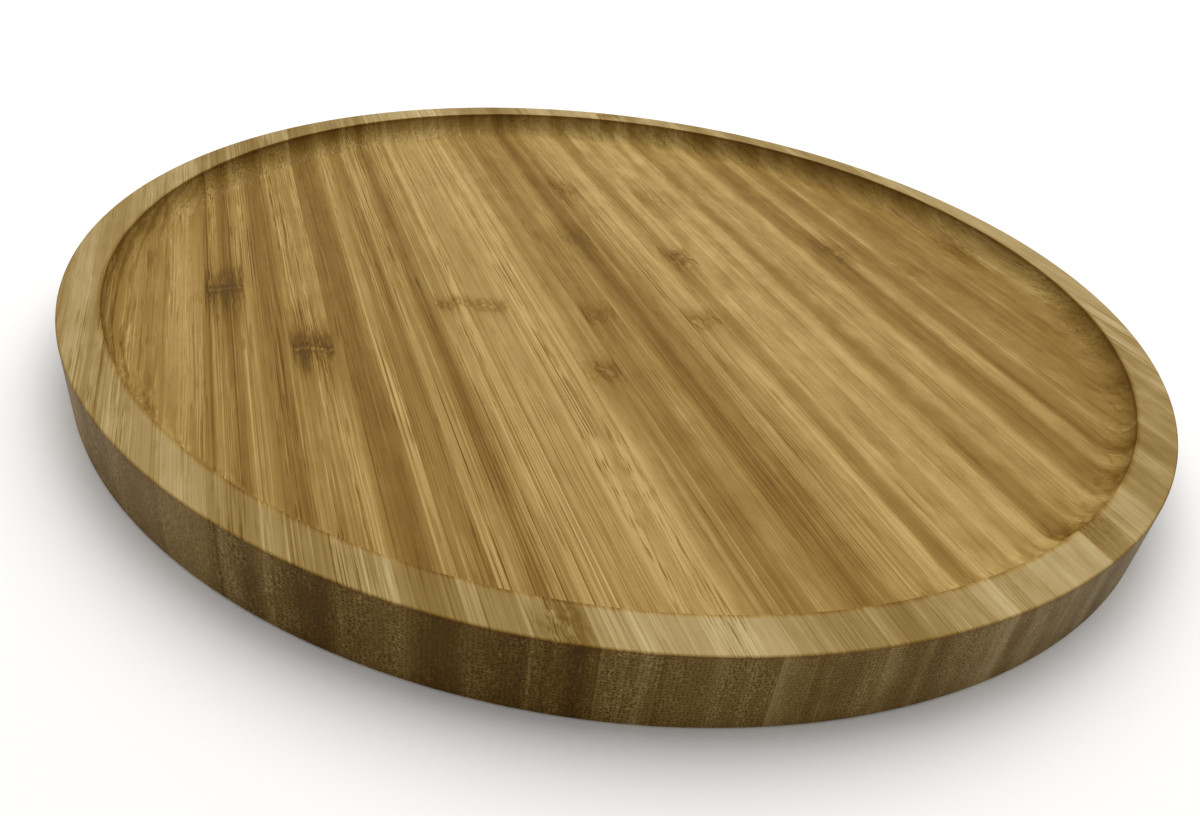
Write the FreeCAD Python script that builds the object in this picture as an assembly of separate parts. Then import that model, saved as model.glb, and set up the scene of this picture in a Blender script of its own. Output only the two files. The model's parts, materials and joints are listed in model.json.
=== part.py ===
import FreeCAD, Part
import math
import os

# Round serving tray turned from a block of bamboo strips that are glued side by side on edge.
# Millimetres, +Z up. The origin is the centre of the underside. The strips lie along Y and are
# numbered from -X to +X. Each strip runs the full height of the tray and from edge to edge.

# Sizes that are set by themselves
tray_diameter = 320.0
tray_height = 20.0
rim_width = 10.0
recess_depth = 7.7
full_strips = 30
left_sliver_width = 3.0     # what the outer edge leaves of the first strip
right_sliver_width = 3.5    # and of the last one
top_edge_chamfer = 0.5
base_edge_chamfer = 0.8

# Sizes that follow
tray_radius = tray_diameter / 2
recess_radius = tray_radius - rim_width
floor_height = tray_height - recess_depth
cove_radius = recess_depth  # a quarter round from the floor up to the rim
floor_radius = recess_radius - cove_radius
first_joint = -tray_radius + left_sliver_width
last_joint = tray_radius - right_sliver_width
strip_width = (last_joint - first_joint) / full_strips
saw_margin = 5.0            # how far the cutting slabs reach past the tray


def point(radius, height):
    return FreeCAD.Vector(radius, 0, height)


def line(start, end):
    return Part.LineSegment(start, end).toShape()


def cove():
    """A quarter circle in the XZ plane, level where it leaves the floor and upright at the rim."""
    slant = cove_radius * math.sqrt(0.5)
    middle = point(floor_radius + slant, tray_height - slant)
    return Part.Arc(point(floor_radius, floor_height), middle, point(recess_radius, tray_height)).toShape()


def turned_tray():
    """The whole tray as one turned solid: flat base, upright side, flat rim, coved recess."""
    corners = [
        point(floor_radius, floor_height),
        point(0, floor_height),
        point(0, 0),
        point(tray_radius - base_edge_chamfer, 0),
        point(tray_radius, base_edge_chamfer),
        point(tray_radius, tray_height - top_edge_chamfer),
        point(tray_radius - top_edge_chamfer, tray_height),
        point(recess_radius, tray_height),
    ]
    edges = [line(start, end) for start, end in zip(corners[:-1], corners[1:])]
    outline = Part.Wire(edges + [cove().reversed()])
    return Part.Face(outline).revolve(FreeCAD.Vector(0, 0, 0), FreeCAD.Vector(0, 0, 1), 360)


def strip_slab(low_x, high_x):
    """The block that one strip was before turning, longer and taller than the tray."""
    corner = FreeCAD.Vector(low_x, -tray_radius - saw_margin, -saw_margin)
    return Part.makeBox(high_x - low_x, tray_diameter + 2 * saw_margin, tray_height + 2 * saw_margin, corner)


def strip_edges():
    """The X of each strip's two faces, with the two slivers' outer faces past the turned edge."""
    joints = [first_joint + count * strip_width for count in range(full_strips + 1)]
    planes = [-tray_radius - saw_margin] + joints + [tray_radius + saw_margin]
    return list(zip(planes[:-1], planes[1:]))


os.makedirs("parts", exist_ok=True)
tray = turned_tray()
for number, (low_x, high_x) in enumerate(strip_edges(), start=1):
    strip = tray.common(strip_slab(low_x, high_x)).Solids[0]
    name = f"strip_{number:02d}"
    strip.exportStep(f"parts/{name}.step")
    width = strip.optimalBoundingBox(True, False).XLength
    print(name, f"width {width:.3f}", f"volume {strip.Volume:.1f}", strip.isValid())
print("strip width", round(strip_width, 3), "tray volume", round(tray.Volume, 1))
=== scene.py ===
import bpy
import bmesh
import json
import math
import numpy as np
from mathutils import Matrix, Vector


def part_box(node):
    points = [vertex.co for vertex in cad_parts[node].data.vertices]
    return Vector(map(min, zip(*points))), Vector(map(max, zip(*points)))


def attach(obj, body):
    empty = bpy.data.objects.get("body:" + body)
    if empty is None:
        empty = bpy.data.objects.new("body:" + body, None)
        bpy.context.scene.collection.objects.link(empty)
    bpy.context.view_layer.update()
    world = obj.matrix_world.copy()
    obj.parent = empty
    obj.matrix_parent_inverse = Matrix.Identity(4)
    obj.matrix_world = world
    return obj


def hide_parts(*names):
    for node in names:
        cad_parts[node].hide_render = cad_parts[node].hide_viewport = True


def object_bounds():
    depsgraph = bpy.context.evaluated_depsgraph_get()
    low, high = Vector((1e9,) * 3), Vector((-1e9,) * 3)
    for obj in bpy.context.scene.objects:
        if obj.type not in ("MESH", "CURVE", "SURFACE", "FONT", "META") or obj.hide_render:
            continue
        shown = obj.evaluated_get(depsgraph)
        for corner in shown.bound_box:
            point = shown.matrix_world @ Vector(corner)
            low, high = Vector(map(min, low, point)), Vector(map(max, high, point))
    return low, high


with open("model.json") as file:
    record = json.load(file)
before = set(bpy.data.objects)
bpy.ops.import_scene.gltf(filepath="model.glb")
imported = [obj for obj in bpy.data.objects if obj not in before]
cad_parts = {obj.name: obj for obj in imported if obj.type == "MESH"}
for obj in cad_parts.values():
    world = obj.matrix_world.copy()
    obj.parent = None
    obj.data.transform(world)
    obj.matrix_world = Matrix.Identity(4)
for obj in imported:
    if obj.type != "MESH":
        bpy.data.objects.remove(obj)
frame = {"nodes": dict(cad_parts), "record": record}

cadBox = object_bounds()
record = frame["record"]
mm = 0.001
print("frame loaded:", len(frame["nodes"]), "strips")

slotOfStrip = {part["node"]: part["material_slot"] for part in record["subparts"]}
stripNames = sorted(slotOfStrip)

turning = {
    "rimWidth": 10.0 * mm,
    "recessDepth": 7.7 * mm,
    "lipRound": 0.08 * mm,      # inner corner of the rim, just taken off with fine paper
    "topRound": 0.5 * mm,
    "baseRound": 0.8 * mm,
    "coveSteps": 26,
    "roundSteps": 5,
    "sideRows": 6,
    "columns": 16,              # faces across one strip
    "roundMargin": 0.3 * mm,    # a row this far from a round keeps its shading off the face beside it
    "flatMargin": 0.6 * mm,     # the same on the floor and the base
    "weld": 1e-6,               # points nearer than this become one
    "sharpAngle": 32,           # degrees, from which an edge stays crisp
}
hair = 1e-9                     # two lengths this close are the same

lowCorner, highCorner = (Vector(corner) for corner in cadBox)
trayRadius = (highCorner.x - lowCorner.x) / 2
trayHeight = highCorner.z - lowCorner.z


def turnedRows(nearX, farX):
    # Radius and height of every row from the floor, up the cove, over the rim, down the side to the base.
    # Cove: a quarter circle from level to upright. Lip, top and base rounds: quarter circles too.
    t = turning
    rimInner = trayRadius - t["rimWidth"]
    coveRadius = t["recessDepth"] - t["lipRound"]
    floorEdge = rimInner - coveRadius
    quarter = np.linspace(0, np.pi / 2, t["coveSteps"] + 1)
    small = np.linspace(0, np.pi / 2, t["roundSteps"] + 1)
    floor = np.array([[floorEdge - t["flatMargin"], trayHeight - t["recessDepth"]]])
    cove = np.stack([floorEdge + coveRadius * np.sin(quarter),
                     trayHeight - t["lipRound"] - coveRadius * np.cos(quarter)], 1)
    lip = np.stack([rimInner + t["lipRound"] * (1 - np.cos(small)),
                    trayHeight - t["lipRound"] * (1 - np.sin(small))], 1)
    rim = np.array([[rimInner + t["lipRound"] + t["roundMargin"], trayHeight],
                    [trayRadius - t["rimWidth"] / 2, trayHeight],
                    [trayRadius - t["topRound"] - t["roundMargin"], trayHeight]])
    top = np.stack([trayRadius - t["topRound"] * (1 - np.sin(small)),
                    trayHeight - t["topRound"] * (1 - np.cos(small))], 1)
    heights = np.linspace(trayHeight - t["topRound"] - t["roundMargin"], t["baseRound"] + t["roundMargin"],
                          t["sideRows"])
    side = np.stack([np.full(t["sideRows"], trayRadius), heights], 1)
    base = np.stack([trayRadius - t["baseRound"] * (1 - np.cos(small)),
                     t["baseRound"] * (1 - np.sin(small))], 1)
    under = np.array([[trayRadius - t["baseRound"] - t["flatMargin"], 0.0]])
    upper = np.concatenate([floor, cove, lip[1:], rim, top])
    lower = np.concatenate([side, base, under])
    # a row exactly where each glue face meets the surface, so that neighbours share their points
    for faceX in (nearX, farX):
        if upper[0, 0] < faceX < trayRadius - t["topRound"]:
            z = np.interp(faceX, upper[:, 0], upper[:, 1])
            upper = np.insert(upper, np.searchsorted(upper[:, 0], faceX), [faceX, z], axis=0)
    upper = upper[upper[:, 0] >= nearX - hair]
    return np.concatenate([upper, lower])


def stripSurface(lowX, highX):
    # A strip of the turned disc between two upright planes. On a row of radius r the points lie at
    # x = r cos(a), y = r sin(a), with the angle a going evenly from acos(far / r) to acos(near / r).
    # The other half is this one mirrored in Y. Floor and base are straight faces between the halves.
    mirrored = lowX + highX < 0
    nearX, farX = (-highX, -lowX) if mirrored else (lowX, highX)
    rows = turnedRows(nearX, farX)
    r = rows[:, 0][:, None]
    first = np.arccos(np.clip(farX / r, -1, 1))
    last = np.arccos(np.clip(nearX / r, -1, 1))
    angle = first + (last - first) * np.linspace(0, 1, turning["columns"] + 1)[None]
    x = r * np.cos(angle)
    y = r * np.sin(angle)
    z = np.broadcast_to(rows[:, 1][:, None], x.shape)
    count = x.size
    points = np.concatenate([np.stack([x, y, z], 2).reshape(-1, 3), np.stack([x, -y, z], 2).reshape(-1, 3)])
    index = np.arange(count).reshape(x.shape)
    quads = np.stack([index[:-1, :-1], index[1:, :-1], index[1:, 1:], index[:-1, 1:]], 2).reshape(-1, 4)
    floor = np.stack([index[0, :-1], index[0, 1:], index[0, 1:] + count, index[0, :-1] + count], 1)
    under = np.stack([index[-1, :-1], index[-1, 1:], index[-1, 1:] + count, index[-1, :-1] + count], 1)
    faces = np.concatenate([quads, quads + count, floor, under]).tolist()
    nearFace = np.concatenate([index[:, -1], (index[:, -1] + count)[::-1]])
    faces.append(nearFace.tolist())
    if farX < trayRadius:
        reached = index[rows[:, 0] >= farX - hair, 0]
        faces.append(np.concatenate([reached, (reached + count)[::-1]]).tolist())
    if mirrored:
        points[:, 0] *= -1
    return points, faces


def buildStrip(node, lowX, highX):
    # The strip's surface as one closed shell: points that meet are made one and faces point outwards. It
    # rides on the tray's one body in place of its CAD solid.
    points, faces = stripSurface(lowX, highX)
    mesh = bpy.data.meshes.new(node.replace("strip", "bamboo"))
    mesh.from_pydata(points.tolist(), [], faces)
    shell = bmesh.new()
    shell.from_mesh(mesh)
    bmesh.ops.remove_doubles(shell, verts=shell.verts, dist=turning["weld"])
    bmesh.ops.dissolve_degenerate(shell, edges=shell.edges, dist=turning["weld"])
    bmesh.ops.recalc_face_normals(shell, faces=shell.faces)
    for face in shell.faces:
        face.smooth = True
    shell.to_mesh(mesh)
    shell.free()
    mesh.set_sharp_from_angle(angle=math.radians(turning["sharpAngle"]))
    piece = bpy.data.objects.new(mesh.name, mesh)
    bpy.context.scene.collection.objects.link(piece)
    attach(piece, "root")
    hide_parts(node)
    return piece


bamboo = {
    "pale": (0.480, 0.336, 0.118),
    "honey": (0.276, 0.169, 0.037),
    "brown": (0.157, 0.078, 0.006),
    "dark": (0.088, 0.042, 0.002),
    "honeyAt": 0.33,                    # where honey and brown stand between pale at 0 and dark at 1
    "brownAt": 0.68,
    "shadeToRamp": 0.75,
    "cutEndsAndShade": (0.58, 0.57, 0.61),     # how much darker the cut ends are than the top: partly the end grain's own colour, partly painted shade
    "rightEndsAndShade": (0.58, 0.60, 0.74),  # the same towards the right, where the ends come out greyer
    "rightEndsFrom": (-20, 60),               # X in mm between which the ends turn from one to the other
    "edgeShade": (0.92, 0.81, 0.64),    # painted shade along the outer top corner, where the round catches less light
    "lipShade": (0.78, 0.68, 0.54),     # painted shade along the inner corner of the rim, where the lip throws a thin shadow
    "paleRimTint": (1.04, 1.13, 1.58),       # the rim top comes out paler and greyer than the recess
    "roughness": 0.58,
    "roughnessSwing": 0.24,
    "specular": 0.09,
    "reliefStrength": 0.4,
    "reliefDepth": 0.06 * mm,
    "fineRelief": 0.8,
    "rippleRelief": 0.3,
    "bundleRelief": -0.7,
}

# mm that the fibres drift and weave across (X) and into the wood (Z); weave is for a strip whose lively is 1
fibres = {
    "drift": 0.8,
    "driftDeep": -2.6,
    "weave": 1.2,
    "weaveDeep": 3.4,
    "flameAcross": 0.035,               # mm across for each mm in front of a flame's place
    "toneSway": 24.0,                   # mm that the change from tone to toneBack sways along Y
    "toneChange": (-66, -6),            # Y in mm between which it happens
}

bundles = {
    "pitch": 0.80,                      # mm between fibre bundles
    "scatter": 0.55,                    # 0 for a square grid, 1 for wholly loose
    "core": (0.10, 0.28),               # where a bundle's dark core ends, in pitches
    "dotCore": (0.16, 0.40),            # the same on the cut ends
    "ground": (0.22, 0.55),             # where the pale ground between them begins
    "strengths": (0.25, 1.25),          # of the faintest and the boldest bundle
    "strengthSpread": (0.15, 0.85),
    "dotDarkness": 0.27,
    "groundPaleness": -0.09,
    "dotCrowd": (0.4, 0.4),             # how far the dots follow the crowd, and how many there are anyway
}

# how fast each pattern changes across, along and through a strip, per mm, then its detail and its roughness
patterns = {
    "drift": (0.03, 0.012, 0.03, 1.0, 0.5),
    "weave": (0.14, 0.07, 0.16, 1.0, 0.5),
    "bands": (0.55, 0.006, 0.14, 2.0, 0.5),
    "fine": (2.6, 0.012, 1.2, 3.0, 0.62),
    "fleck": (1.3, 0.07, 1.1, 2.0, 0.5),
    "patch": (0.42, 0.011, 0.15, 1.0, 0.5),       # where the fine lines are bold or faint
    "mottle": (0.17, 0.07, 0.12, 3.0, 0.55),
    "ripple": (0.8, 2.1, 0.8, 2.0, 0.6),
    "layers": (0.22, 0.035, 0.3, 2.0, 0.5),
    "knotLine": (0.28, 0.0, 0.10, 2.0, 0.5),
    "knotCurl": (0.45, 0.20, 0.3, 1.5, 0.5),
    "knotPatch": (1.1, 0.14, 1.0, 2.0, 0.5),
    "knotMarble": (0.26, 0.17, 0.2, 1.5, 0.5),
    "rootlets": (0.9, 0.03, 1.0, 2.0, 0.5),
    "eyeWobble": (0.55, 0.36, 0.3, 2.0, 0.5),
}
shiftPerStrip, fleckShift, patchShift = 37.0, 5.0, 9.0      # mm, so that no two strips or patterns are alike

# how much each pattern darkens the wood, and between which of its values it shows
marks = {
    "bands": 0.36,
    "mottle": 2.4,                      # times a strip's blotch
    "ripple": 0.10,
    "darkLine": 0.62,                   # times a strip's lines, as paleLine, bundle, fleck and evenOut are
    "darkLineAt": (0.50, 0.66),
    "paleLine": -0.52,
    "paleLineAt": (0.34, 0.47),
    "bundle": 0.95,
    "fleck": 0.45,
    "fleckAt": (0.57, 0.70),
    "evenOut": -0.25,                   # keeps the strip's mean shade as lines grow
    "patchAt": (0.38, 0.60),
    "patchContrast": (0.22, 0.72),
    "toneContrast": 0.92,
    "floorShade": 0.03,
    "bandContrast": 0.78,
    "glueLine": 0.09,
    "glueLineAt": (0.05, 0.22),         # mm from the glue face
}
# what the sanded rim takes off each of these
rimLoss = {"lines": -0.2, "tone": -0.42, "bands": -0.24, "shade": -0.03}

# how a knot is made: mm, or shades for a knot of strength 1
knotMaking = {
    "crooked": 10.0,                    # mm that its line wanders along the strip
    "bend": (4.0, -2.6),                # mm that fibres bend round it, and what a full ridge takes off
    "bendDeep": 0.7,
    "patchAt": (0.3, 0.65),
    "patchMix": (0.6, 0.4),
    "around": (-0.25, 1.0, 0.56),       # the dark wood round it: offset and width in spreads, and shade
    "tail": (1.6, 1.8, 0.08),           # the faint shade in front of it
    "roots": (0.8, 1.0, 0.30),
    "rootsAt": (0.46, 0.62),
    "swirlTurns": 34.0,
    "swirl": 0.10,
    "bars": [(0.4, 0.7, -0.26), (-1.1, 0.9, 0.22), (1.9, 0.9, 0.24)],  # offset and width in mm, and shade
    "eyeStretch": (0.30, 0.6),          # the eye's ring is longer along Y than across
    "eyeWobble": 6.0,
    "eyeRings": [(0.0, 1.2, -0.30), (-1.7, 0.6, 0.30)],
}

coveLayers = {
    "lean": 1.1,                        # radians of the sine per mm of X, outwards from the middle strip
    "rise": 1.5,                        # radians per mm of Z
    "sway": 11.0,                       # radians that the noise moves it
}

# Where round the tray the finish changes, from and to, in mm. Out: outwards from the lip, or for the corner
# from the outer edge. Up: upwards from the top face, or for the cove from the recess floor.
zones = {
    "rimOut": (0.4, 1.2),
    "rimUp": (-0.6, -0.2),
    "coveOut": (-12.0, -6.0),
    "coveEnd": (-0.2, 0.1),
    "coveUp": (-0.3, 0.1),
    "coveFloorShare": 0.6,              # how strongly the layers show at the height of the recess floor
    "endsOut": (1.0, 7.0),
    "endsLeast": 0.30,
    "endsUp": (-0.7, -0.3),
    "cornerOut": (-0.55, -0.2),
    "cornerUp": (-1.0, -0.4),
    "lipMiddle": -0.1,
    "lipWidth": 0.5,
    "lipUp": (-1.8, -0.6),
    "uprightAt": (0.20, 0.80),          # how level a face may be and still count as side
    "endOnAt": (0.10, 0.75),            # how squarely the fibres must be cut to show their ends
}

edgeMm = trayRadius / mm
lipMm = edgeMm - turning["rimWidth"] / mm
topMm = trayHeight / mm
recessMm = topMm - turning["recessDepth"] / mm

# shade: 0 pale to 1 brown. tone: (place across the strip in mm, how much darker it is there), joined
# smoothly; toneBack is the same further back, where it differs. lines: strength of the fine dark lines.
# crowd: how thick the bundles stand at the left and the right. blotch: soft mottling. lively: how much the
# fibres weave.
# ends: extra darkness of the cut ends. layers: strength of the grain layers cut open in the cove. sanded: how
# much paler the rim is. flame: (slope, Y in mm), in front of which the fibres dive into the wood.
# knots: (Y in mm, strength, spread in mm, ridge from 0 for a blotch to 1 for crisp bars, and the eye's place
# across the strip in mm, or None).
stripLook = {
    "strip_01": {
        "shade": 0.46, "lines": 0.6, "crowd": (0.8, 0.5), "blotch": 0.1, "lively": 0.2, "ends": -0.1,
        "tone": [(0.5, 0.15), (1.5, 0.05), (2.5, -0.12)],
    },
    "strip_02": {
        "shade": 0.41, "lines": 0.6, "crowd": (0.4, 0.9), "blotch": 0.1, "lively": 0.4,
        "ends": -0.1, "layers": 0.26,
        "tone": [(1, -0.15), (3.4, -0.2), (5, 0), (6.5, 0.15), (8, 0.12), (10.2, 0.15)],
    },
    "strip_03": {
        "shade": 0.36, "lines": 0.55, "crowd": (0.9, 0.3), "blotch": 0.1, "lively": 0.45, "layers": 0.26,
        "tone": [(0.4, 0.16), (1.1, 0.06), (3, -0.02), (5.5, 0.12), (7, 0.1), (10.2, 0.08)],
    },
    "strip_04": {
        "shade": 0.34, "lines": 0.55, "crowd": (0.7, 0.2), "blotch": 0.12, "lively": 0.35, "layers": 0.14,
        "tone": [(0.5, 0.15), (1.2, -0.05), (4, -0.05), (8, 0), (9.3, 0.1), (10.2, 0.2)],
    },
    "strip_05": {
        "shade": 0.57, "lines": 0.8, "crowd": (0.9, 0.5), "blotch": 0.12, "lively": 0.12,
        "tone": [(0.4, 0), (1.1, 0.25), (1.9, -0.2), (3.5, -0.15), (4.8, 0.05), (6, 0.25), (7.5, 0.22),
                 (8.6, 0.05), (9.6, -0.2)],
        "knots": [(12, 1.2, 10, 0.55, None)],
    },
    "strip_06": {
        "shade": 0.6, "lines": 0.8, "crowd": (0.8, 0.6), "blotch": 0.12, "lively": 0.12, "ends": 0.28,
        "tone": [(0.4, -0.25), (1.3, -0.3), (2.4, -0.1), (3.4, -0.05), (4.6, 0.12), (6.5, 0.15), (8, 0.2),
                 (9.3, 0.05), (10.2, -0.08)],
    },
    "strip_07": {
        "shade": 0.43, "lines": 0.8, "crowd": (0.9, 0.6), "blotch": 0.16, "lively": 0.16, "ends": 0.2,
        "tone": [(0.4, -0.05), (2, 0.02), (4, 0.08), (5.5, 0), (8, 0), (10.2, -0.15)],
        "knots": [(-26, 1.35, 9, 0.6, None)],
    },
    "strip_08": {
        "shade": 0.66, "lines": 0.5, "crowd": (0.8, 0.3), "blotch": 0.14, "lively": 0.1, "ends": 0.24,
        "tone": [(0.4, -0.45), (1.2, -0.3), (2, -0.15), (3.5, 0.05), (5.5, 0.15), (8.5, 0.12),
                 (10.2, -0.05)],
        "toneBack": [(0.5, 0.02), (3, 0.1), (6.5, 0.12), (8.6, 0), (9.6, -0.25), (10.2, -0.3)],
    },
    "strip_09": {
        "shade": 0.5, "lines": 0.75, "crowd": (0.9, 0.7), "blotch": 0.1, "lively": 0.1, "ends": 0.36,
        "tone": [(0.4, -0.25), (1.2, -0.12), (2, -0.15), (4, 0), (6, 0.08), (7.5, 0.17), (8.6, 0.22),
                 (9.4, 0.05), (10.2, -0.25)],
    },
    "strip_10": {
        "shade": 0.52, "lines": 0.8, "crowd": (0.9, 0.4), "blotch": 0.1, "lively": 0.08, "ends": 0.3,
        "tone": [(0.4, -0.25), (1.2, -0.22), (2, -0.06), (3.4, -0.2), (4.6, -0.1), (5.6, 0.12),
                 (6.5, 0.28), (8.2, 0.27), (8.9, 0.1), (9.5, -0.05), (10.2, 0)],
        "knots": [(-140.5, 0.45, 4, 0.2, 6.4)],
    },
    "strip_11": {
        "shade": 0.31, "lines": 0.8, "crowd": (1, 0.7), "blotch": 0.1, "lively": 0.06, "ends": 0.18,
        "tone": [(0.5, 0.03), (1.1, 0.12), (2, 0.02), (3.3, 0.12), (4.1, -0.08), (5, 0.1), (6, 0.05),
                 (7.2, -0.15), (8, -0.15), (9.3, 0.06), (10.2, 0.02)],
        "knots": [(-6, 0.7, 3.5, 0.6, None)],
    },
    "strip_12": {
        "shade": 0.28, "lines": 0.5, "crowd": (1, 0.3), "blotch": 0.1, "lively": 0.06,
        "ends": 0.28, "layers": 0.06,
        "tone": [(0.4, 0.12), (1.2, -0.05), (3, 0), (5, 0), (8, 0.02), (9.2, -0.08), (10.2, -0.15)],
        "knots": [(-8, 0.5, 3.5, 0.5, 4.5)],
    },
    "strip_13": {
        "shade": 0.21, "lines": 0.8, "crowd": (0.9, 0.6), "blotch": 0.12, "lively": 0.15,
        "ends": 0.28, "layers": 0.06, "flame": (0.06, -75),
        "tone": [(0.5, 0.06), (1.8, 0.02), (2.8, -0.14), (4, 0.04), (6.5, 0.06), (8.5, -0.06),
                 (10.2, 0.06)],
    },
    "strip_14": {
        "shade": 0.37, "lines": 0.4, "crowd": (0.3, 0.7), "blotch": 0.18, "lively": 0.16,
        "ends": 0.1, "layers": 0.08,
        "tone": [(0.4, -0.32), (1.5, -0.2), (3, -0.06), (5, 0.05), (6.3, 0), (7.8, 0.25), (9, 0.12),
                 (10.2, 0.02)],
        "toneBack": [(0.4, -0.1), (2, -0.17), (4, 0.02), (5.5, 0.1), (8, 0.04), (9.3, -0.05),
                     (10.2, 0.1)],
        "knots": [(-50, 0.6, 6, 0.2, 6.5)],
    },
    "strip_15": {
        "shade": 0.52, "lines": 0.55, "crowd": (0.5, 0.9), "blotch": 0.2, "lively": 0.16, "ends": -0.02,
        "tone": [(0.5, 0.05), (2.6, 0.12), (5.5, 0.1), (6.4, -0.02), (7.8, -0.12), (10.2, -0.1)],
        "knots": [(-18, 0.6, 7, 0.1, None)],
    },
    "strip_16": {
        "shade": 0.62, "lines": 0.5, "crowd": (0.8, 0.4), "blotch": 0.16, "lively": 0.14, "ends": -0.14,
        "tone": [(0.4, -0.22), (1.9, -0.2), (3.2, -0.08), (4.5, 0.1), (6.3, 0.22), (8, 0.2), (9.3, 0),
                 (10.2, -0.1)],
        "knots": [(36, 0.5, 9, 0.1, None)],
    },
    "strip_17": {
        "shade": 0.48, "lines": 0.65, "crowd": (0.5, 1), "blotch": 0.18, "lively": 0.18,
        "ends": 0.07, "layers": 0.08,
        "tone": [(0.4, 0.05), (1.8, 0.2), (3.2, 0.15), (4.5, 0), (6, -0.12), (7.8, -0.16), (9.3, -0.12),
                 (10.2, -0.1)],
        "knots": [(80, 0.5, 9, 0.1, None)],
    },
    "strip_18": {
        "shade": 0.26, "lines": 0.5, "crowd": (0.9, 0.4), "blotch": 0.18, "lively": 0.18, "layers": 0.08,
        "tone": [(0.5, 0.13), (3, 0.12), (4.8, 0.06), (5.7, -0.12), (7, -0.06), (8.2, -0.22), (9.3, -0.1),
                 (10.2, 0)],
        "toneBack": [(0.5, 0), (3, 0.03), (5.5, -0.1), (7, -0.08), (8.5, 0), (10.2, 0.2)],
        "knots": [(-26, 0.6, 6, 0.2, 3)],
    },
    "strip_19": {
        "shade": 0.34, "lines": 0.45, "crowd": (0.4, 0.9), "blotch": 0.22, "lively": 0.2,
        "ends": 0.05, "layers": 0.1,
        "tone": [(0.4, 0.05), (1.3, 0.17), (3, 0.17), (4.6, 0.08), (5.6, -0.08), (7, -0.15), (8.5, -0.1),
                 (10.2, -0.18)],
        "knots": [(18, 0.75, 8, 0.2, 5.5)],
    },
    "strip_20": {
        "shade": 0.24, "lines": 0.3, "crowd": (0.3, 0.6), "blotch": 0.26, "lively": 0.3,
        "ends": 0.12, "layers": 0.14,
        "tone": [(0.4, 0.04), (3, 0.05), (6, 0.02), (7.2, -0.14), (8, -0.05), (10.2, -0.04)],
        "knots": [(70, 0.45, 9, 0, None)],
    },
    "strip_21": {
        "shade": 0.23, "lines": 0.3, "crowd": (0.3, 0.6), "blotch": 0.26, "lively": 0.3,
        "ends": 0.12, "layers": 0.14,
        "tone": [(0.4, -0.04), (2, 0.04), (4.5, 0.1), (6.3, 0), (7.8, -0.12), (9, -0.05), (10.2, 0.02)],
        "knots": [(149, 0.8, 3, 0.6, None)],
    },
    "strip_22": {
        "shade": 0.42, "lines": 0.3, "crowd": (0.7, 0.3), "blotch": 0.3, "lively": 0.35,
        "ends": -0.05, "layers": 0.14,
        "tone": [(0.4, -0.16), (1.3, 0), (3, 0.15), (4.5, 0.1), (6.5, 0), (8.5, -0.1), (10.2, -0.18)],
        "knots": [(-139, 0.75, 7, 0.1, None)],
    },
    "strip_23": {
        "shade": 0.31, "lines": 0.4, "crowd": (0.4, 0.6), "blotch": 0.24, "lively": 0.28, "layers": 0.14,
        "tone": [(0.4, -0.08), (3, 0.08), (5, 0.05), (7.5, -0.02), (10.2, -0.1)],
    },
    "strip_24": {
        "shade": 0.46, "lines": 0.4, "crowd": (0.3, 0.8), "blotch": 0.22, "lively": 0.25, "layers": 0.14,
        "tone": [(0.4, -0.32), (1.5, -0.28), (2.6, -0.2), (4, -0.02), (6, 0.1), (8.2, 0.22), (10.2, 0.2)],
    },
    "strip_25": {
        "shade": 0.46, "lines": 0.4, "crowd": (0.8, 0.4), "blotch": 0.26, "lively": 0.25, "layers": 0.14,
        "tone": [(0.4, 0.16), (3.3, 0.18), (4.2, 0.06), (5.2, -0.12), (6.3, -0.2), (8, -0.15),
                 (10.2, -0.08)],
        "knots": [(16, 0.75, 10, 0.1, None)],
    },
    "strip_26": {
        "shade": 0.6, "lines": 0.4, "crowd": (0.8, 0.4), "blotch": 0.22, "lively": 0.25,
        "layers": 0.14, "sanded": 0.04,
        "tone": [(0.4, -0.22), (1.3, 0), (2.7, 0.2), (3.4, 0.2), (5, 0.05), (7.5, 0), (9, -0.1),
                 (10.2, -0.22)],
        "toneBack": [(0.4, -0.22), (2, -0.14), (3.4, 0.05), (6, 0.13), (8, 0.1), (9.3, -0.02),
                     (10.2, -0.12)],
    },
    "strip_27": {
        "shade": 0.45, "lines": 0.4, "crowd": (0.5, 0.5), "blotch": 0.26, "lively": 0.28,
        "layers": 0.14, "sanded": 0.02,
        "tone": [(0.4, -0.18), (1.6, -0.12), (3, 0), (5.5, 0.06), (8, 0.02), (10.2, 0.03)],
        "knots": [(-2, 0.5, 7, 0, None)],
    },
    "strip_28": {
        "shade": 0.62, "lines": 0.4, "crowd": (0.5, 0.5), "blotch": 0.3, "lively": 0.3,
        "layers": 0.12, "sanded": 0.14,
        "tone": [(0.4, -0.12), (2, -0.06), (4, 0.02), (6.5, 0.08), (8.5, 0.02), (10.2, -0.02)],
    },
    "strip_29": {
        "shade": 0.53, "lines": 0.4, "crowd": (0.5, 0.5), "blotch": 0.3, "lively": 0.35,
        "layers": 0.1, "sanded": 0.09,
        "tone": [(0.4, 0), (2, -0.05), (6, 0.03), (8, 0.04), (10.2, 0)],
    },
    "strip_30": {
        "shade": 0.49, "lines": 0.5, "crowd": (0.5, 0.5), "blotch": 0.3, "lively": 0.4, "sanded": 0.14,
        "tone": [(0.4, -0.03), (3, 0.06), (5, 0.15), (6, 0.1), (8, -0.12), (10.2, -0.3)],
        "knots": [(12, 0.6, 10, 0, None)],
    },
    "strip_31": {
        "shade": 0.32, "lines": 0.5, "crowd": (0.5, 0.5), "blotch": 0.12, "lively": 0.25,
        "tone": [(0.4, 0.05), (5, 0), (10.2, -0.05)],
    },
    "strip_32": {
        "shade": 0.3, "lines": 0.4, "crowd": (0.5, 0.5), "blotch": 0.1, "lively": 0.2,
        "tone": [(0.5, 0), (3, 0)],
    },
}


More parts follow.
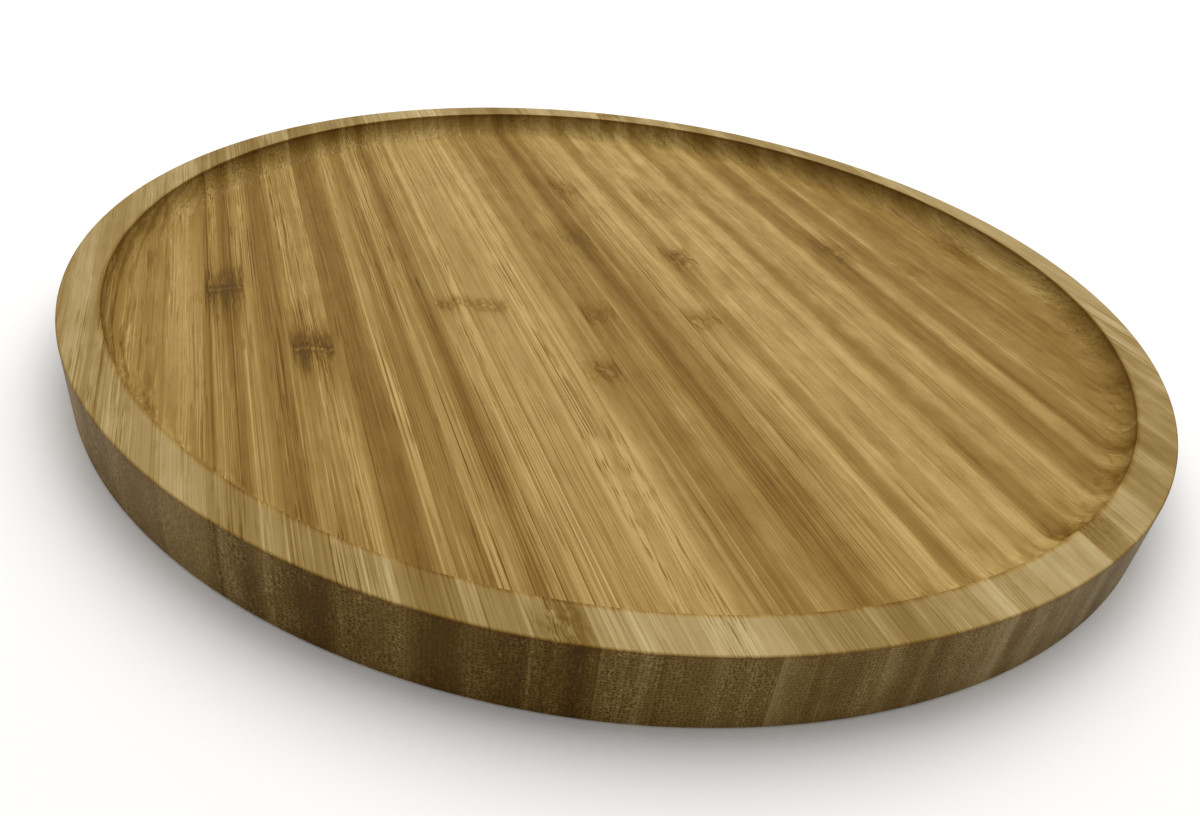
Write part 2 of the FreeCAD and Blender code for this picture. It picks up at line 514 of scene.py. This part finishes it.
class Bench:
    # short names for the few node kinds that the finish uses
    def __init__(self, tree):
        self.tree = tree

    def put(self, kind, **settings):
        # a new node of this kind
        made = self.tree.nodes.new(kind)
        for key, value in settings.items():
            setattr(made, key, value)
        return made

    def feed(self, socket, value):
        # link an output to the socket, or set its number or colour
        if isinstance(value, bpy.types.NodeSocket):
            self.tree.links.new(value, socket)
        else:
            socket.default_value = value

    def reckon(self, operation, first, second=0.5, third=None):
        # one sum of up to three values
        made = self.put("ShaderNodeMath", operation=operation)
        self.feed(made.inputs[0], first)
        self.feed(made.inputs[1], second)
        if third is not None:
            self.feed(made.inputs[2], third)
        return made.outputs[0]

    def add(self, first, second):
        # first + second
        return self.reckon("ADD", first, second)

    def times(self, first, second):
        # first * second
        return self.reckon("MULTIPLY", first, second)

    def scaled(self, value, amount, base):
        # value * amount + base
        return self.reckon("MULTIPLY_ADD", value, amount, base)

    def centred(self, value, amount):
        # (value - 0.5) * amount, which swings evenly to both sides of zero for noise
        return self.scaled(value, amount, -0.5 * amount)

    def fit(self, value, low, high, newLow=0.0, newHigh=1.0, smooth=True):
        # value taken from low ... high to newLow ... newHigh and held there
        made = self.put("ShaderNodeMapRange", interpolation_type="SMOOTHSTEP" if smooth else "LINEAR")
        for socket, number in zip(made.inputs[:5], (value, low, high, newLow, newHigh)):
            self.feed(socket, number)
        return made.outputs[0]

    def within(self, value, span, start, newLow=0.0, newHigh=1.0):
        # fit with the two ends of a zone, measured from start
        return self.fit(value, start + span[0], start + span[1], newLow, newHigh)

    def join(self, x, y, z):
        # three values as one place
        made = self.put("ShaderNodeCombineXYZ")
        for socket, value in zip(made.inputs, (x, y, z)):
            self.feed(socket, value)
        return made.outputs[0]

    def pattern(self, name, x, y, z, shift):
        # noise at (x across + shift, y along, z through), so a small number draws it out that way
        across, along, through, detail, roughness = patterns[name]
        made = self.put("ShaderNodeTexNoise")
        self.feed(made.inputs["Vector"],
                  self.join(self.scaled(x, across, shift), self.times(y, along), self.times(z, through)))
        made.inputs["Scale"].default_value = 1.0
        made.inputs["Detail"].default_value = detail
        made.inputs["Roughness"].default_value = roughness
        return made.outputs["Fac"]

    def bell(self, value, width):
        # exp(-(value / width)^2)
        ratio = self.times(value, 1.0 / width)
        return self.reckon("EXPONENT", self.times(self.times(ratio, ratio), -1.0))

    def ramp(self, value, stops, shape="LINEAR"):
        # colours or shades against places from 0 to 1
        made = self.put("ShaderNodeValToRGB")
        made.color_ramp.interpolation = shape
        points = made.color_ramp.elements
        while len(points) < len(stops):
            points.new(0.5)
        for point, (position, tone) in zip(points, stops):
            point.position = position
            point.color = (*tone, 1) if isinstance(tone, tuple) else (tone, tone, tone, 1)
        self.feed(made.inputs[0], value)
        return made.outputs[0]

    def blend(self, factor, first, second, kind="MIX"):
        # first where factor is 0, first mixed with or multiplied by second where it is 1
        made = self.put("ShaderNodeMix", data_type="RGBA", blend_type=kind)
        self.feed(made.inputs[0], factor)
        self.feed(made.inputs[6], first)
        self.feed(made.inputs[7], second)
        return made.outputs[2]

    def stainAndShade(self, factor, colour, tint):
        # the colour multiplied by a tint where factor is 1: the cut ends' tint, the painted shade on two
        # corners, the paler rim
        return self.blend(factor, colour, tint, "MULTIPLY")


def acrossTone(b, across, stops, width):
    # the darker and paler bands across a strip, as a ramp of shades round 0.5
    return b.ramp(across, [(place / width, 0.5 + tone) for place, tone in stops], "EASE")


def fibrePlaces(b, x, y, z, look, shift):
    # Where in straight wood a fibre would lie: x and z moved by a slow drift and a livelier weave. In a
    # flamed strip z also moves by slope times the distance in front of the flame's place.
    drift = b.pattern("drift", x, y, z, shift)
    weave = b.pattern("weave", x, y, z, shift)
    lively = look["lively"]
    fibreX = b.add(x, b.centred(drift, fibres["drift"]))
    fibreX = b.add(fibreX, b.centred(weave, fibres["weave"] * lively))
    fibreZ = b.scaled(drift, fibres["driftDeep"], z)
    fibreZ = b.scaled(weave, fibres["weaveDeep"] * lively, fibreZ)
    if "flame" in look:
        slope, start = look["flame"]
        dive = b.reckon("MAXIMUM", b.add(b.times(y, -1.0), start), 0.0)
        fibreZ = b.scaled(dive, slope, fibreZ)
        fibreX = b.scaled(dive, fibres["flameAcross"], fibreX)
    return fibreX, fibreZ, weave


def addKnot(b, x, y, z, fibreX, fibreZ, knot, lowX, shift):
    # A knot bends the fibres and darkens the wood round it, with a pale ridge between two dark lines and, if
    # a bud was there, a ringed eye. Every part is a bell of the distance along the strip, or from the eye.
    along, strength, spread, ridge, eye = knot
    k = knotMaking
    wave = b.pattern("knotLine", x, y, z, shift + along)
    off = b.add(b.add(y, -along), b.centred(wave, k["crooked"]))
    near = b.bell(off, spread)
    curl = b.pattern("knotCurl", x, y, z, shift)
    bend = k["bend"][0] + k["bend"][1] * ridge
    fibreX = b.add(fibreX, b.times(b.centred(curl, bend), near))
    fibreZ = b.add(fibreZ, b.times(b.centred(curl, k["bendDeep"] * bend), near))
    patchy = b.fit(b.pattern("knotPatch", x, y, z, shift), *k["patchAt"])
    rootlets = b.fit(b.pattern("rootlets", fibreX, y, z, shift), *k["rootsAt"])
    marble = b.pattern("knotMarble", x, y, z, shift - along)
    swirl = b.reckon("SINE", b.times(marble, k["swirlTurns"]))
    around, tail, roots = (b.bell(b.add(off, offset * spread), width * spread)
                           for offset, width, _ in (k["around"], k["tail"], k["roots"]))
    parts = [b.times(b.times(around, b.scaled(patchy, *k["patchMix"])), k["around"][2] * strength),
             b.times(b.times(swirl, near), k["swirl"] * (1.0 - ridge) * strength),
             b.times(b.times(roots, rootlets), k["roots"][2] * strength),
             b.times(tail, k["tail"][2] * strength)]
    for offset, width, shade in k["bars"]:
        parts.append(b.times(b.bell(b.add(off, offset), width), shade * ridge * strength))
    if eye is not None:
        side = b.add(x, -lowX - eye)
        alongY, acrossX = k["eyeStretch"]
        sideways = b.times(b.times(side, side), acrossX)
        ring = b.reckon("SQRT", b.scaled(off, b.times(off, alongY), sideways))
        ring = b.add(ring, b.centred(b.pattern("eyeWobble", x, y, z, along), k["eyeWobble"]))
        for offset, width, shade in k["eyeRings"]:
            parts.append(b.times(b.bell(b.add(ring, offset), width), shade * strength))
    knotShade = parts[0]
    for part in parts[1:]:
        knotShade = b.add(part, knotShade)
    return fibreX, fibreZ, knotShade


def fibreBundles(b, fibreX, fibreZ, shift):
    # Bundles stand on a loose grid in x and z and run along Y: the distance to the nearest one, in pitches,
    # and a random number of its own.
    perPitch = 1.0 / bundles["pitch"]
    cells = b.put("ShaderNodeTexVoronoi", feature="F1", voronoi_dimensions="2D")
    place = b.join(b.scaled(fibreX, perPitch, shift), b.times(fibreZ, perPitch), 0.0)
    b.feed(cells.inputs["Vector"], place)
    cells.inputs["Scale"].default_value = 1.0
    cells.inputs["Randomness"].default_value = bundles["scatter"]
    each = b.put("ShaderNodeSeparateXYZ")
    b.feed(each.inputs[0], cells.outputs["Color"])
    return cells.outputs["Distance"], each.outputs[0]


def layersInCove(b, x, y, z, radius, lowX, highX, strength):
    # Rings where the cove cuts the layers of a strip: the sine of rise z + lean x + noise. They fade out on
    # the floor beside the cove.
    c = coveLayers
    lean = math.copysign(c["lean"], lowX + highX)
    sway = b.pattern("layers", x, y, z, 0.0)
    layered = b.reckon("SINE", b.scaled(sway, c["sway"], b.scaled(z, c["rise"], b.times(x, lean))))
    inCove = b.times(b.within(radius, zones["coveOut"], lipMm),
                     b.within(radius, zones["coveEnd"], lipMm, 1.0, 0.0))
    inCove = b.times(inCove, b.within(z, zones["coveUp"], recessMm, zones["coveFloorShare"], 1.0))
    return b.times(b.times(b.fit(layered, 0.0, 1.0), inCove), strength)


def bambooFinish(name, look, lowX, highX, seed):
    # Shade = the strip's own shade + bands across it + knots + mottling + fine lines and bundles. A ramp of
    # four colours takes it to wood. The cut ends are then darkened, partly as painted shade, painted shade is
    # laid along the outer and inner top corners, and the rim is made paler and greyer.
    material = bpy.data.materials.new(name)
    material.use_nodes = True
    tree = material.node_tree
    tree.nodes.clear()
    b = Bench(tree)
    inMm = b.put("ShaderNodeVectorMath", operation="SCALE")
    b.feed(inMm.inputs[0], b.put("ShaderNodeTexCoord").outputs["Object"])
    inMm.inputs["Scale"].default_value = 1.0 / mm
    split = b.put("ShaderNodeSeparateXYZ")
    b.feed(split.inputs[0], inMm.outputs[0])
    x, y, z = split.outputs
    radius = b.reckon("SQRT", b.add(b.times(x, x), b.times(y, y)))
    rimTop = b.times(b.within(radius, zones["rimOut"], lipMm), b.within(z, zones["rimUp"], topMm))
    shift = shiftPerStrip * seed
    width = highX - lowX
    lines = look["lines"]

    fibreX, fibreZ, weave = fibrePlaces(b, x, y, z, look, shift)
    knotShade = 0.0
    for knot in look.get("knots", []):
        fibreX, fibreZ, shade = addKnot(b, x, y, z, fibreX, fibreZ, knot, lowX, shift)
        knotShade = b.add(shade, knotShade)

    across = b.fit(fibreX, lowX, highX, smooth=False)
    tone = acrossTone(b, across, look["tone"], width)
    if "toneBack" in look:
        behind = b.fit(b.scaled(weave, fibres["toneSway"], y), *fibres["toneChange"])
        tone = b.blend(behind, tone, acrossTone(b, across, look["toneBack"], width))

    # broad patterns
    bands = b.pattern("bands", fibreX, y, fibreZ, shift)
    mottle = b.pattern("mottle", x, y, z, shift)
    ripple = b.pattern("ripple", x, y, z, shift)
    calmer = b.scaled(rimTop, rimLoss["tone"], marks["toneContrast"])
    value = b.scaled(b.add(tone, -0.5), calmer, b.add(knotShade, look["shade"]))
    value = b.add(value, b.scaled(rimTop, rimLoss["shade"], marks["floorShade"]))
    if "layers" in look:
        value = b.add(value, layersInCove(b, x, y, z, radius, lowX, highX, look["layers"]))
    bandFade = b.scaled(rimTop, rimLoss["bands"], marks["bandContrast"])
    value = b.add(value, b.times(b.centred(bands, marks["bands"]), bandFade))
    value = b.add(value, b.centred(mottle, look["blotch"] * marks["mottle"]))
    value = b.add(value, b.centred(ripple, marks["ripple"]))

    # fine lines and bundles, bolder in some patches than in others
    fine = b.pattern("fine", fibreX, y, fibreZ, shift)
    fleck = b.pattern("fleck", fibreX, y, fibreZ, shift + fleckShift)
    patch = b.pattern("patch", fibreX, y, z, shift + patchShift)
    toBundle, chance = fibreBundles(b, fibreX, fibreZ, shift)
    crowd = b.fit(across, 0.0, 1.0, *look["crowd"])
    bundle = b.times(b.times(b.fit(toBundle, *bundles["core"], 1.0, 0.0), crowd),
                     b.fit(chance, *bundles["strengthSpread"], *bundles["strengths"]))
    contrast = b.times(b.fit(patch, *marks["patchAt"], *marks["patchContrast"]),
                       b.scaled(rimTop, rimLoss["lines"], 1.0))
    streaks = b.times(b.fit(fine, *marks["darkLineAt"]), lines * marks["darkLine"])
    palest = b.fit(fine, *marks["paleLineAt"], 1.0, 0.0)
    streaks = b.add(streaks, b.times(palest, lines * marks["paleLine"]))
    streaks = b.add(streaks, b.times(bundle, lines * marks["bundle"]))
    streaks = b.add(streaks, b.times(b.fit(fleck, *marks["fleckAt"]), lines * marks["fleck"]))
    value = b.add(value, b.times(b.add(streaks, lines * marks["evenOut"]), contrast))

    # the glue line shows as a hairline, and some strips come up paler where the rim was sanded
    toEdge = b.reckon("MINIMUM", b.add(x, -lowX), b.add(b.times(x, -1.0), highX))
    value = b.add(value, b.times(b.fit(toEdge, *marks["glueLineAt"], 1.0, 0.0), marks["glueLine"]))
    value = b.scaled(rimTop, -look.get("sanded", 0.0), value)

    # cut ends of the fibres show the bundles as dark dots, and each strip's ends take their own extra
    # darkness
    turn = b.put("ShaderNodeSeparateXYZ")
    b.feed(turn.inputs[0], b.put("ShaderNodeNewGeometry").outputs["Normal"])
    upright = b.fit(b.reckon("ABSOLUTE", turn.outputs[2]), *zones["uprightAt"], 1.0, 0.0)
    endOn = b.times(b.fit(b.reckon("ABSOLUTE", turn.outputs[1]), *zones["endOnAt"]), upright)
    outer = b.within(radius, zones["endsOut"], lipMm, zones["endsLeast"], 1.0)
    endOn = b.times(b.times(endOn, outer), b.within(z, zones["endsUp"], topMm, 1.0, 0.0))
    dots = b.times(b.fit(toBundle, *bundles["dotCore"], 1.0, 0.0), b.scaled(crowd, *bundles["dotCrowd"]))
    ground = b.fit(toBundle, *bundles["ground"])
    value = b.add(value, b.times(b.times(dots, endOn), bundles["dotDarkness"]))
    value = b.add(value, b.times(b.times(ground, endOn), bundles["groundPaleness"]))
    value = b.scaled(b.times(upright, outer), look.get("ends", 0.0), value)

    colour = b.ramp(b.times(value, bamboo["shadeToRamp"]),
                    [(0.0, bamboo["pale"]), (bamboo["honeyAt"], bamboo["honey"]),
                     (bamboo["brownAt"], bamboo["brown"]), (1.0, bamboo["dark"])])
    # upright faces, the cove's less so, are darkened: partly the end grain's own colour, partly painted shade
    # on the side
    endTint = b.blend(b.fit(x, *bamboo["rightEndsFrom"]), (*bamboo["cutEndsAndShade"], 1), (*bamboo["rightEndsAndShade"], 1))
    colour = b.stainAndShade(b.times(upright, outer), colour, endTint)
    # painted shade: a thin orange-brown line along the outer top corner, where the round catches less light
    corner = b.times(b.within(radius, zones["cornerOut"], edgeMm), b.within(z, zones["cornerUp"], topMm))
    colour = b.stainAndShade(corner, colour, (*bamboo["edgeShade"], 1))
    # painted shade: a thin dark line along the inner corner of the rim, below the lip
    lip = b.times(b.bell(b.add(radius, -lipMm - zones["lipMiddle"]), zones["lipWidth"]),
                  b.within(z, zones["lipUp"], topMm))
    colour = b.stainAndShade(lip, colour, (*bamboo["lipShade"], 1))
    # the rim top made paler and greyer than the recess
    colour = b.stainAndShade(rimTop, colour, (*bamboo["paleRimTint"], 1))

    shader = b.put("ShaderNodeBsdfPrincipled")
    b.feed(shader.inputs["Base Color"], colour)
    swing = bamboo["roughnessSwing"]
    b.feed(shader.inputs["Roughness"], b.scaled(fine, swing, bamboo["roughness"] - swing / 2))
    shader.inputs["Specular IOR Level"].default_value = bamboo["specular"]
    relief = b.put("ShaderNodeBump")
    relief.inputs["Strength"].default_value = bamboo["reliefStrength"]
    relief.inputs["Distance"].default_value = bamboo["reliefDepth"]
    height = b.scaled(ripple, bamboo["rippleRelief"], b.times(fine, bamboo["fineRelief"]))
    b.feed(relief.inputs["Height"], b.scaled(bundle, bamboo["bundleRelief"], height))
    b.feed(shader.inputs["Normal"], relief.outputs[0])
    out = b.put("ShaderNodeOutputMaterial")
    b.feed(out.inputs["Surface"], shader.outputs[0])
    return material


pastEdge = 5 * mm                       # the two slivers have no outer glue face, so theirs lies off the tray
for order, node in enumerate(stripNames):
    low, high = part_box(node)
    lowX = low[0] if order > 0 else -trayRadius - pastEdge
    highX = high[0] if order < len(stripNames) - 1 else trayRadius + pastEdge
    piece = buildStrip(node, lowX, highX)
    finish = bambooFinish(piece.name, stripLook[node], low[0] / mm, high[0] / mm, order + 1)
    piece.data.materials.append(finish)
print("strips made:", len(stripNames))

studio = {
    "floorSize": 12.0,
    "floorDrop": 0.1 * mm,
    "floorColour": (0.92, 0.92, 0.92),
    "floorRoughness": 0.9,
    "floorSpecular": 0.1,
    "airColour": (1, 1, 1, 1),
    "fillStrength": 0.45,
    "lampPlace": (0.30, 0.68, 1.6),
    "lampAim": (0, 0, 0),
    "lampSize": 1.8,
    "lampPower": 33,
    "lampColour": (1.0, 0.99, 0.97),
    "cameraPlace": (-0.11427, -0.24724, 0.14339),
    "heading": -24.11,          # degrees about Z from looking along +Y
    "tilt": 56.61,
    "roll": 7.88,
    "lens": 27.98,
    "sensorWidth": 36,
    "nearest": 0.01,
}

floorMesh = bpy.data.meshes.new("studio_floor")
half = studio["floorSize"] / 2
under = -studio["floorDrop"]
corners = [(-half, -half, under), (half, -half, under), (half, half, under), (-half, half, under)]
floorMesh.from_pydata(corners, [], [(0, 1, 2, 3)])
floor = bpy.data.objects.new("studio_floor", floorMesh)
bpy.context.scene.collection.objects.link(floor)
paper = bpy.data.materials.new("floor_paper")
paper.use_nodes = True
paperShader = paper.node_tree.nodes["Principled BSDF"]
paperShader.inputs["Base Color"].default_value = (*studio["floorColour"], 1)
paperShader.inputs["Roughness"].default_value = studio["floorRoughness"]
paperShader.inputs["Specular IOR Level"].default_value = studio["floorSpecular"]
floorMesh.materials.append(paper)
print("floor laid")

world = bpy.data.worlds.new("studio_air")
bpy.context.scene.world = world
world.use_nodes = True
world.node_tree.nodes["Background"].inputs["Color"].default_value = studio["airColour"]
world.node_tree.nodes["Background"].inputs["Strength"].default_value = studio["fillStrength"]

lampData = bpy.data.lights.new("overhead", "AREA")
lampData.shape = "SQUARE"
lampData.size = studio["lampSize"]
lampData.energy = studio["lampPower"]
lampData.color = studio["lampColour"]
lamp = bpy.data.objects.new("overhead", lampData)
lamp.location = studio["lampPlace"]
lampFacing = Vector(studio["lampAim"]) - Vector(studio["lampPlace"])
lamp.rotation_euler = lampFacing.to_track_quat("-Z", "Y").to_euler()
bpy.context.scene.collection.objects.link(lamp)
print("lamp hung")

cameraData = bpy.data.cameras.new("camera")
cameraData.lens = studio["lens"]
cameraData.sensor_width = studio["sensorWidth"]
cameraData.clip_start = studio["nearest"]
camera = bpy.data.objects.new("camera", cameraData)
turned = (Matrix.Rotation(math.radians(studio["heading"]), 4, "Z")
          @ Matrix.Rotation(math.radians(studio["tilt"]), 4, "X")
          @ Matrix.Rotation(math.radians(studio["roll"]), 4, "Z"))
camera.matrix_world = Matrix.Translation(studio["cameraPlace"]) @ turned
bpy.context.scene.collection.objects.link(camera)
bpy.context.scene.camera = camera
bpy.context.scene.view_settings.view_transform = "Standard"
print("camera set")
